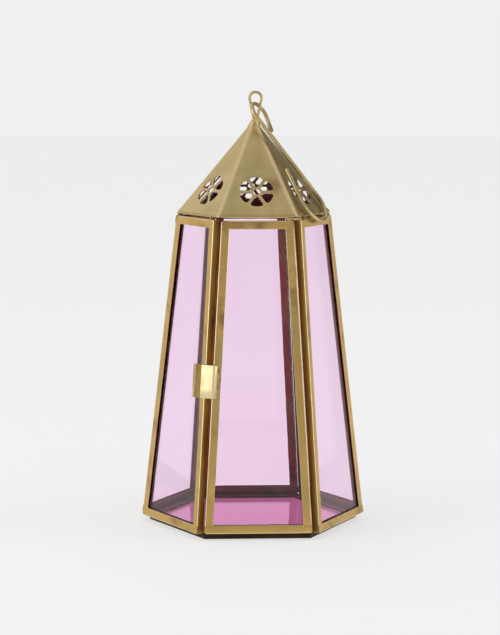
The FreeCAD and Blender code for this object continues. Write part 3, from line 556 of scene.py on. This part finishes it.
def petal(turn):
    """Outline of one petal of a vent about the vent's centre: outer arc, two rounded corners
    and a round tip, with straight sides beside the spokes."""
    wedge = STEP / 2
    reach = math.sqrt((VENT_RADIUS - VENT_CORNER) ** 2 - (VENT_SPOKE + VENT_CORNER) ** 2)
    lean = wedge - math.asin((VENT_SPOKE + VENT_CORNER) / (VENT_RADIUS - VENT_CORNER))
    tip_centre = Vector(((VENT_SPOKE + VENT_TIP) / math.sin(wedge), 0))
    along = Vector((math.cos(wedge), math.sin(wedge)))
    aside = Vector((math.sin(wedge), -math.cos(wedge)))
    corner = along * reach + aside * (VENT_SPOKE + VENT_CORNER)
    mirror = Vector((corner.x, -corner.y))
    quarter = math.pi / 2
    outline = arc_points(Vector((0, 0)), VENT_RADIUS, -lean, lean, 8)
    outline += arc_points(corner, VENT_CORNER, lean, wedge + quarter, 5)[1:]
    outline += arc_points(tip_centre, VENT_TIP, wedge + quarter,
                          2 * math.pi - wedge - quarter, 8)
    outline += arc_points(mirror, VENT_CORNER, -wedge - quarter, -lean, 5)[:-1]
    spin = Matrix.Rotation(turn, 2)
    return [spin @ point for point in outline]


def inside(point, outline):
    """True if a plan position is inside a closed outline."""
    crossings = 0
    for index, first in enumerate(outline):
        second = outline[index - 1]
        if (first.y > point.y) != (second.y > point.y):
            share = (point.y - first.y) / (second.y - first.y)
            crossings += point.x < first.x + (second.x - first.x) * share
    return crossings % 2 == 1


def vent_outlines(index):
    """The six petals and the hub hole of one face's vent, in plan."""
    shapes = [petal(STEP * number + STEP / 2) for number in range(6)]
    shapes.append(arc_points(Vector((0, 0)), VENT_HUB, 0, 2 * math.pi, 18)[:-1])
    return [[on_face(index, point.x, VENT_UP + point.y) for point in shape] for shape in shapes]


def face_grid(index):
    """Spots over one face, away from its vent's edges and its ridges, and rows beside them."""
    length = (EAVE_APOTHEM - (POINT - TOP) / math.tan(SLOPE)) / math.cos(SLOPE)
    spots = []
    rows = int(length / GRID)
    for row in range(1, rows):
        upwards = length * row / rows
        half = (EAVE_APOTHEM - upwards * math.cos(SLOPE)) * math.tan(STEP / 2)
        columns = int(2 * half / GRID)
        for column in range(columns + 1):
            sideways = -half + 2 * half * (column + 0.5 * (row % 2)) / max(1, columns)
            to_vent = math.hypot(sideways, upwards - VENT_UP)
            if half - abs(sideways) > RIDGE_CLEAR and to_vent > VENT_RADIUS + VENT_CLEAR:
                spots.append(on_face(index, sideways, upwards))
        for back in RIDGE_ROWS:
            if half > 1.5 * back:
                spots.append(on_face(index, half - back, upwards))
                if back > 0:
                    spots.append(on_face(index, back - half, upwards))
        if index == 1 and half > 5 * MM:
            for back in LAP_ROWS:
                spots.append(on_face(index, back - half, upwards))
    return spots


def build_hood():
    """Pierced pyramid from one sheet; the turned-down hem on each side is a separate piece."""
    radius = EAVE_APOTHEM / math.cos(STEP / 2)
    top_radius = (POINT - TOP) / math.tan(SLOPE) / math.cos(STEP / 2)
    rims = []
    for size_out, parts in ((radius, 26), (top_radius, 3)):
        ends = [Vector((math.cos(STEP * index), math.sin(STEP * index))) * size_out
                for index in range(6)]
        rims.append([ends[index].lerp(ends[(index + 1) % 6], part / parts)
                     for index in range(6) for part in range(parts)])
    vents = [vent_outlines(index) for index in range(6)]
    plan, edges = [], []
    for outline in rims + [shape for vent in vents for shape in vent]:
        first = len(plan)
        plan += outline
        edges += [(first + number, first + (number + 1) % len(outline))
                  for number in range(len(outline))]
    for index in range(6):
        plan += face_grid(index)
    found = geometry.delaunay_2d_cdt(plan, edges, [], 0, 1e-6)
    flat, triangles = found[0], found[2]
    kept = []
    for triangle in triangles:
        middle = sum((flat[corner] for corner in triangle), Vector((0, 0))) / 3
        index = round(math.atan2(middle.x, -middle.y) / STEP) % 6
        if inside(middle, rims[0]) and not inside(middle, rims[1]):
            if not any(inside(middle, shape) for shape in vents[index]):
                kept.append(tuple(triangle))
    used = sorted({corner for triangle in kept for corner in triangle})
    number = {corner: place for place, corner in enumerate(used)}
    points = [Vector((flat[corner].x, flat[corner].y, hood_height(flat[corner])))
              for corner in used]
    faces = [tuple(number[corner] for corner in triangle) for triangle in kept]
    hood = make_piece("hood", points, faces, (HOOD, HOOD_INSIDE_SHADE, HOOD_EDGE_HIGHLIGHT), "lantern",
                      "hood_brass", "roof_hood", sharp=50)
    thicken = hood.modifiers.new("sheet", "SOLIDIFY")
    thicken.thickness = HOOD_SHEET
    thicken.offset = -1.0
    # the inner side takes painted shade, the cut rims a painted highlight
    thicken.material_offset = 1
    thicken.material_offset_rim = 2
    soften = hood.modifiers.new("cut_edges", "BEVEL")
    soften.width = 0.14 * MM
    soften.segments = 2
    soften.limit_method = "ANGLE"
    soften.angle_limit = math.radians(55)
    mesh = apply_modifiers(hood)
    mesh.shade_smooth()
    mesh.set_sharp_from_angle(angle=math.radians(50))


def build_hem():
    """Turned-down tab along each side of the hood, rolled over from the sloping face."""
    slope_in = Vector((-math.cos(SLOPE), math.sin(SLOPE)))
    # (out, up) from the eave: down the outer side from the face, then up the inner side
    section = [slope_in * 1.6 * MM + Vector((0, -0.04 * MM)), slope_in * 0.5 * MM,
               Vector((-0.02 * MM, -0.2 * MM)), Vector((0, -0.55 * MM)),
               Vector((-0.04 * MM, -1.25 * MM)), Vector((-0.16 * MM, -HEM_DROP)),
               Vector((-0.55 * MM, -HEM_DROP)), Vector((-0.64 * MM, -1.2 * MM)),
               Vector((-0.66 * MM, -0.5 * MM)),
               slope_in * 1.7 * MM + Vector((-0.4 * MM, -0.5 * MM))]
    points, faces = [], []
    half = EAVE_APOTHEM * math.tan(STEP / 2) - HEM_NOTCH
    stations = 24
    for index in range(6):
        turn = Matrix.Rotation(STEP * index, 3, "Z")
        first = len(points)
        for station in range(stations + 1):
            sideways = -half + 2 * half * station / stations
            pinch = max(0.0, 1 - station / 1.5, 1 - (stations - station) / 1.5)
            for out, up in section:
                sag = wave(sideways * 90, index * 4.4, 1.0) * 0.12 * MM
                drop = up * (1 - 0.35 * pinch) if up < 0 else up
                place = Vector((sideways, -(EAVE_APOTHEM + out - abs(sag)), EAVE + drop))
                points.append(turn @ place)
        faces += tube_faces(stations + 1, len(section), first)
    hem = make_piece("hood_hem", points, faces, (HOOD, PAINTED_SHADE_BRASS, HOOD_EDGE_HIGHLIGHT, HOOD_INSIDE_SHADE),
                     "lantern", "hood_brass", sharp=50)
    around = [0, 0, 1, 0, 2, 2, 3, 3, 3, 3]      # finish of each face round the section: 1 a painted shade line under the fold, 2 a painted highlight on the bottom edge, 3 painted shade on the inner side
    # the ends of each tab take the painted highlight
    tones = (around * stations + [2, 2]) * len(SIDES)
    for polygon, tone in zip(hem.data.polygons, tones, strict=True):
        polygon.material_index = tone


# ----------------------------------------------------------- tip of the hood, wires and clip

TIP_SINK, TIP_RISE = 0.6 * MM, 0.3 * MM    # reach below the hood's top, above the CAD solder's


def build_tip():
    """Brass-coloured solder that carries the pyramid on to a point round the eye's feet."""
    low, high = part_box("apex_solder")
    middle = (low + high) / 2
    base = (POINT - TOP) / math.tan(SLOPE) + 0.35 * MM
    levels, around = 9, 36
    points = []
    for level in range(levels):
        share = level / (levels - 1)
        height = TOP - TIP_SINK + (high.z - TOP + TIP_SINK + TIP_RISE) * share
        for step in range(around):
            turn = 2 * math.pi * step / around
            corner = math.cos(STEP / 2) / math.cos((turn % STEP) - STEP / 2)
            roundness = 0.35 + 0.65 * share
            radius = base * (1 - share) ** 0.85 * (corner + (1.04 - corner) * roundness)
            radius += 1.15 * MM * share + wave(turn, share * 2, 8.0) * 0.18 * MM * (1 - share)
            shift = middle.x * share
            points.append(Vector((shift + math.cos(turn) * radius,
                                  middle.y + math.sin(turn) * radius, height)))
    make_piece("hood_tip", points, tube_faces(levels, around), HOOD, "lantern", "solder",
               "apex_solder", sharp=60)


EYE_WIRE = 0.8 * MM                # radius of the wire
EYE_ARC = 3.4 * MM
EYE_FOOT = 0.9 * MM
EYE_BEND = 3.0 * MM
EYE_SPLAY = math.radians(12)       # between a leg and the vertical
EYE_TURN = math.radians(-10)
HOOK_WIRE = 1.15 * MM
SMALL_ARC, SMALL_ACROSS = 6.4 * MM, -1.0 * MM
LARGE_ARC, LARGE_ACROSS, LARGE_DOWN = 11.9 * MM, 0.7 * MM, 66.0 * MM
FREE_TAIL, FREE_TURN = 10.4 * MM, math.radians(21)
RETURN_TAIL, RETURN_TURN = 20.9 * MM, math.radians(10.7)


def wire(name, line, radius, body, node, seed, rounded):
    """Round wire along a line of points, a little uneven, with blunt or rounded ends."""
    around = 20
    points = []
    # each ring at an end: distance in from the tip and share of the radius
    ends = [(0.0, 0.55), (0.12, 0.85), (0.35, 1.0)] if rounded else [(0.0, 1.0), (0.1, 1.0)]
    rings = []
    for index, point in enumerate(line):
        ahead = line[min(index + 1, len(line) - 1)] - line[max(index - 1, 0)]
        rings.append((point, ahead.normalized(), 1.0))
    for side, pick in ((0, 1), (-1, -1)):
        tip, heading = rings[side][:2]
        extra = [(tip + heading * pick * radius * step, heading, share) for step, share in ends]
        rings = extra + rings[1:] if side == 0 else rings[:-1] + extra[::-1]
    sideways = rings[0][1].orthogonal().normalized()
    for number, (point, heading, share) in enumerate(rings):
        sideways = (sideways - heading * sideways.dot(heading)).normalized()
        other = heading.cross(sideways)
        swell = radius * share * (1 + 0.02 * wave(number * 0.21, seed, 3.0))
        for step in range(around):
            turn = 2 * math.pi * step / around
            points.append(point + (sideways * math.cos(turn) + other * math.sin(turn)) * swell)
    make_piece(name, points, tube_faces(len(rings), around), WIRE, body, "wire_brass", node,
               sharp=50)


def sampled(parts):
    """Points along straight (start, stop) and arc (centre, radius, start angle, stop angle)
    parts that follow each other, up to but without the last one's end."""
    spacing = 0.5 * MM
    points = []
    for part in parts:
        if len(part) == 2:
            start, stop = part
            count = max(2, round((stop - start).length / (2.5 * spacing)))
            points += [start.lerp(stop, step / count) for step in range(count)]
        else:
            centre, radius, first, last = part
            count = max(4, round(abs(last - first) * radius / spacing))
            points += arc_points(centre, radius, first, last, count)[:-1]
    return points


CLIP_SHEET = 0.8 * MM
CLIP_BEVEL = 0.16 * MM
CLIP_START, CLIP_FOOT = 1.9 * MM, 0.6 * MM
# rise, plate, leg and lip: length in mm and heading in degrees
CLIP_RUNS = ((2.4, -125), (8.1, 147), (7.0, 117), (1.3, 184))
CLIP_BEND = 0.7 * MM


def rounded_line(points, radius):
    """A bent line with each bend rounded off by five points."""
    line = [points[0]]
    for before, corner, after in zip(points, points[1:], points[2:]):
        back, on = (before - corner).normalized(), (after - corner).normalized()
        reach = min(radius, (before - corner).length / 2, (after - corner).length / 2)
        first, last = corner + back * reach, corner + on * reach
        for step in range(5):
            share = step / 4
            line.append(first.lerp(corner, share).lerp(corner.lerp(last, share), share))
    return line + [points[-1]]


def build_clip():
    """Bent strip with soft edges: foot, rise and plate pale, leg darkened as painted shade, lip
    lightened as a painted highlight.
    """
    across, up, normal, face, _, corners = panel_frame("door_came", 0.0)
    spots = [vertex.co for vertex in NODES["latch_clip"].data.vertices]
    low, high = (pick(spot.dot(up) for spot in spots) for pick in (min, max))
    edge = (corners[3] - corners[0]).normalized()
    flat = [Vector((CLIP_START + CLIP_FOOT, -CLIP_SHEET / 2)),
            Vector((CLIP_START, -CLIP_SHEET / 2))]
    for length, turn in CLIP_RUNS:
        angle = math.radians(turn)
        flat.append(flat[-1] + Vector((math.cos(angle), math.sin(angle))) * length * MM)
    line = rounded_line(flat, CLIP_BEND)
    leg, lip = len(line) - 9, len(line) - 4      # where they start along the line
    half, bevel = CLIP_SHEET / 2, CLIP_BEVEL
    tall = (high - low) / edge.y
    base = corners[0] + edge * ((low - corners[0].y) / edge.y)
    section = [(0.0, -half + bevel), (bevel, -half), (tall * 0.3, -half), (tall * 0.7, -half),
               (tall - bevel, -half), (tall, -half + bevel), (tall, half - bevel),
               (tall - bevel, half), (tall * 0.5, half), (bevel, half), (0.0, half - bevel)]
    points, tones = [], []
    for number, spot in enumerate(line):
        ahead = line[min(number + 1, len(line) - 1)] - line[max(number - 1, 0)]
        beside = Vector((ahead.y, -ahead.x)).normalized()
        for upwards, offset in section:
            place = spot + beside * offset
            crook = wave(number * 0.3, upwards * 60, 3.3) * 0.05 * MM
            foot = base + edge * upwards
            points.append(across * (foot.x + place.x) + up * (foot.y + place.x * -edge.x)
                          + normal * (face - place.y - abs(crook)))
        # the leg takes painted shade and the lip a painted highlight
        tones += [1 if leg <= number < lip else 2 if number >= lip else 0] * len(section)
    faces = tube_faces(len(line), len(section))
    piece = make_piece("clip", points, faces, (CLIP, PAINTED_SHADE_BRASS, EDGE_WEAR_AND_HIGHLIGHT), "door", "clip_brass",
                       "latch_clip", sharp=60)
    for polygon, tone in zip(piece.data.polygons, tones):
        polygon.material_index = tone


def build_hook():
    """S-hook in its own plane, x across the hood's face and y up it, from its crossing."""
    joint = next(one for one in frame["joints"] if one["name"] == "hook_lift")
    crossing = Vector(joint["pos_m"])
    across = -Vector(joint["axis"])
    spots = [vertex.co for vertex in NODES["s_hook"].data.vertices]
    down = sum(spots, Vector()) / len(spots) - crossing
    up = -(down - across * down.dot(across)).normalized()
    small = Vector((SMALL_ACROSS, -SMALL_ARC))
    large = Vector((LARGE_ACROSS, -LARGE_DOWN))
    gap = large - small
    shank = math.atan2(gap.y, gap.x) + math.asin((SMALL_ARC + LARGE_ARC) / gap.length)
    leave, arrive = -FREE_TURN, math.pi - RETURN_TURN

    def on(centre, radius, angle):
        return centre + Vector((math.cos(angle), math.sin(angle))) * radius

    def tail(point, angle, length):
        return point + Vector((math.sin(angle), -math.cos(angle))) * length

    first, last = on(small, SMALL_ARC, leave), on(large, LARGE_ARC, arrive)
    end = tail(last, arrive, RETURN_TAIL)
    flat = sampled([
        (tail(first, leave, FREE_TAIL), first),
        (small, SMALL_ARC, leave, shank - math.pi / 2 + 2 * math.pi),
        (on(small, SMALL_ARC, shank - math.pi / 2), on(large, LARGE_ARC, shank + math.pi / 2)),
        (large, LARGE_ARC, shank + math.pi / 2, arrive - 2 * math.pi),
        (last, end)])
    flat.append(end)
    line = [crossing + across * point.x + up * point.y for point in flat]
    wire("hook_wire", line, HOOK_WIRE, "hook", "s_hook", 1.0, False)


def build_eye():
    """Upright loop whose splayed legs bend straight down into the solder."""
    low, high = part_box("suspension_eye")
    centre = high.z - EYE_WIRE - EYE_ARC
    reach = (EYE_ARC * math.cos(EYE_SPLAY) - EYE_FOOT - EYE_BEND * (1 - math.cos(EYE_SPLAY)))
    bend = (centre - EYE_ARC * math.sin(EYE_SPLAY) - reach / math.tan(EYE_SPLAY)
            - EYE_BEND * math.sin(EYE_SPLAY))
    lift = 0.1 * MM
    foot, knee = Vector((EYE_FOOT, low.z + lift)), Vector((EYE_FOOT, bend))
    bend_centre = Vector((EYE_FOOT + EYE_BEND, bend))
    hip = bend_centre + Vector((-math.cos(EYE_SPLAY), math.sin(EYE_SPLAY))) * EYE_BEND
    shoulder = Vector((EYE_ARC * math.cos(EYE_SPLAY), centre - EYE_ARC * math.sin(EYE_SPLAY)))
    half = sampled([
        (foot, knee), (bend_centre, EYE_BEND, math.pi, math.pi - EYE_SPLAY), (hip, shoulder),
        (Vector((0, centre)), EYE_ARC, -EYE_SPLAY, math.pi / 2)])
    flat = half + [Vector((0, centre + EYE_ARC))]
    flat += [Vector((-point.x, point.y)) for point in reversed(half)]
    middle = (low + high) / 2
    turn = Vector((math.cos(EYE_TURN), math.sin(EYE_TURN), 0))
    line = [Vector((middle.x, middle.y, point.y)) + turn * point.x for point in flat]
    wire("eye_wire", line, EYE_WIRE, "lantern", "suspension_eye", 6.0, True)


# ---------------------------------------------------------------- carried-over CAD nodes

def paint(node, finish):
    """Give a CAD node a finish; its mesh stays as it is."""
    mesh = NODES[node].data
    mesh.materials.clear()
    mesh.materials.append(finish)


def paint_nodes():
    for node in NODES:
        if node == "floor_pane":
            paint(node, FLOOR_GLASS_DEEPENED)
        elif node.endswith("_pane"):
            paint(node, GLASS)
        elif "solder" in node or node.endswith("_seam"):
            paint(node, SOLDER)
        # the lower hinge lug and pin are painted near-black as shade
        elif node.startswith("lower_hinge"):
            paint(node, RIM_SHADE)
        else:
            paint(node, CAME)


# ------------------------------------------------------------------ floor, light and camera

BACKDROP = 0.871                   # grey of the surroundings behind the lantern
FLOOR_HALF = 6.0
FLOOR_GAP = 0.2 * MM               # keeps the floor just clear of the underside


def build_stage():
    """Wide pale floor with a glow of its own, so that it blends into the surroundings."""
    mesh = bpy.data.meshes.new("studio_floor")
    half = FLOOR_HALF
    mesh.from_pydata([(-half, -half, 0), (half, -half, 0), (half, half, 0), (-half, half, 0)],
                     [], [(0, 1, 2, 3)])
    look = Look("pale_floor")
    look.set(Base_Color=(0.34, 0.34, 0.34), Roughness=0.9, Specular_IOR_Level=0.0,
             Emission_Color=(1.0, 1.0, 1.0), Emission_Strength=0.606)
    mesh.materials.append(look.material)
    floor = bpy.data.objects.new("studio_floor", mesh)
    floor.location.z = -FLOOR_GAP
    bpy.context.scene.collection.objects.link(floor)


def map_range(tree, value, start, stop, low, high):
    """Grey that goes from low to high as value goes from start to stop."""
    node = tree.nodes.new("ShaderNodeMapRange")
    for name, number in zip(("From Min", "From Max", "To Min", "To Max"),
                            (start, stop, low, high)):
        node.inputs[name].default_value = number
    tree.links.new(value, node.inputs["Value"])
    return node.outputs["Result"]


def build_world():
    """Pale surroundings, dimmer on the camera's side and with a dark screen high at the back
    right."""
    world = bpy.data.worlds.new("studio")
    world.use_nodes = True
    bpy.context.scene.world = world
    tree = world.node_tree
    background = tree.nodes["Background"]
    direction = tree.nodes.new("ShaderNodeTexCoord").outputs["Generated"]
    split = tree.nodes.new("ShaderNodeSeparateXYZ")
    tree.links.new(direction, split.inputs["Vector"])
    depth = map_range(tree, split.outputs["Y"], -0.9, 0.35, 0.52, BACKDROP)
    toward = tree.nodes.new("ShaderNodeVectorMath")
    toward.operation = "DOT_PRODUCT"
    toward.inputs[1].default_value = Vector((0.66, 0.62, 0.42)).normalized()
    tree.links.new(direction, toward.inputs[0])
    screen = map_range(tree, toward.outputs["Value"], 0.86, 0.97, 1.0, 0.3)
    dimmed = tree.nodes.new("ShaderNodeMath")
    dimmed.operation = "MULTIPLY"
    tree.links.new(depth, dimmed.inputs[0])
    tree.links.new(screen, dimmed.inputs[1])
    tree.links.new(dimmed.outputs["Value"], background.inputs["Color"])


def area_light(name, place, target, wide, tall, power):
    """Rectangular light at a place, turned to face the target."""
    light = bpy.data.lights.new(name, "AREA")
    light.shape = "RECTANGLE"
    light.size = wide
    light.size_y = tall
    light.energy = power
    lamp = bpy.data.objects.new(name, light)
    lamp.location = place
    lamp.rotation_euler = (Vector(target) - Vector(place)).to_track_quat("-Z", "Y").to_euler()
    bpy.context.scene.collection.objects.link(lamp)


def build_lights():
    aim = (0, 0, 0.13)
    area_light("left_softbox", (-1.5, -0.55, 0.5), aim, 0.8, 1.4, 9)
    area_light("right_softbox", (1.6, -0.25, 0.4), aim, 0.5, 1.2, 6)


def build_camera():
    """Longish lens, a little above the lantern's middle and slightly to the left."""
    camera = bpy.data.cameras.new("camera")
    camera.sensor_width = 36.0
    camera.lens = 116.3
    camera.clip_start = 0.05
    view = bpy.data.objects.new("camera", camera)
    view.location = (-0.06185, -1.17162, 0.26576)
    view.rotation_euler = (math.radians(90 - 7.175), math.radians(-0.13), math.radians(-2.907))
    bpy.context.scene.collection.objects.link(view)
    bpy.context.scene.camera = view


build_camera()
build_stage()
build_world()
build_lights()
bpy.context.scene.view_settings.view_transform = "Standard"
paint_nodes()
build_frames()
build_floor_frame()
build_hood()
build_hem()
build_tip()
build_clip()
build_hook()
build_eye()

bpy.context.view_layer.update()
